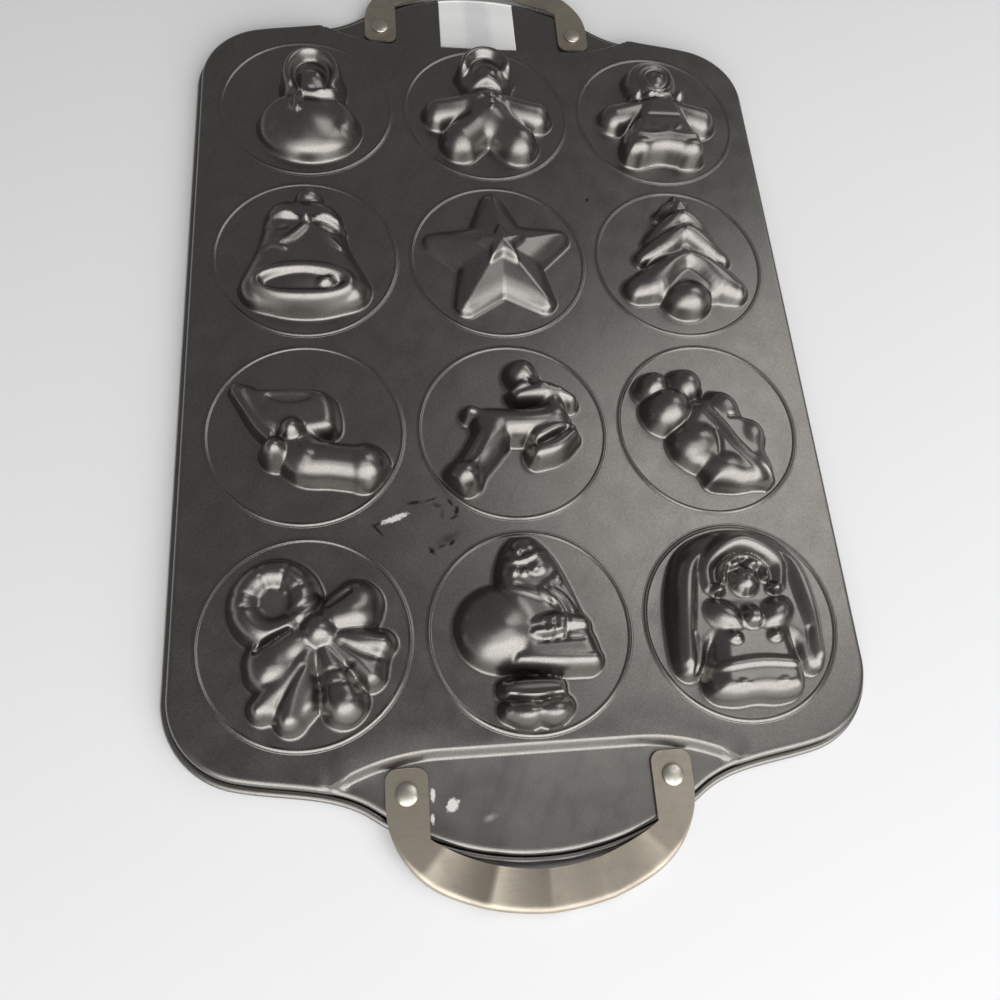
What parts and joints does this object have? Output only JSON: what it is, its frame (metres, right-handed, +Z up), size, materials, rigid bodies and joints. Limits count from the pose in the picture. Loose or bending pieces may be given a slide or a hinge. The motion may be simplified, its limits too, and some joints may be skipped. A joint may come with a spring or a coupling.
{
  "type": "shaped cake pan",
  "caption": "Pressed steel cake pan with festive shaped moulds, raised ring beads, lowered end ledges, a rolled rim and riveted stamped handles, lying mould side up.",
  "frame": {"origin": "bottom centre of the part's box: the middle of the pan, on the plane that the rolled edge rests on", "axes": "+Z up, out of the convex side of the moulds; +Y along the pan towards the end with the paper label; +X to the right of that"},
  "size_m": [0.266, 0.4396, 0.025],
  "materials": {
    "dark_release_coat": "satin dark warm grey release coat with fine speckle",
    "steel_wire": "drawn",
    "handle_plate": "warm grey bright plate with light smears",
    "rivet_plate": "bright plate",
    "label_paper": "white paper"
  },
  "bodies": {
    "root": {"pan_sheet": "dark_release_coat", "rim_wire": "steel_wire", "near_handle": "handle_plate", "far_handle": "handle_plate", "near_left_rivet": "rivet_plate", "near_right_rivet": "rivet_plate", "far_left_rivet": "rivet_plate", "far_right_rivet": "rivet_plate", "blank_label": "label_paper"}
  },
  "joints": []
}
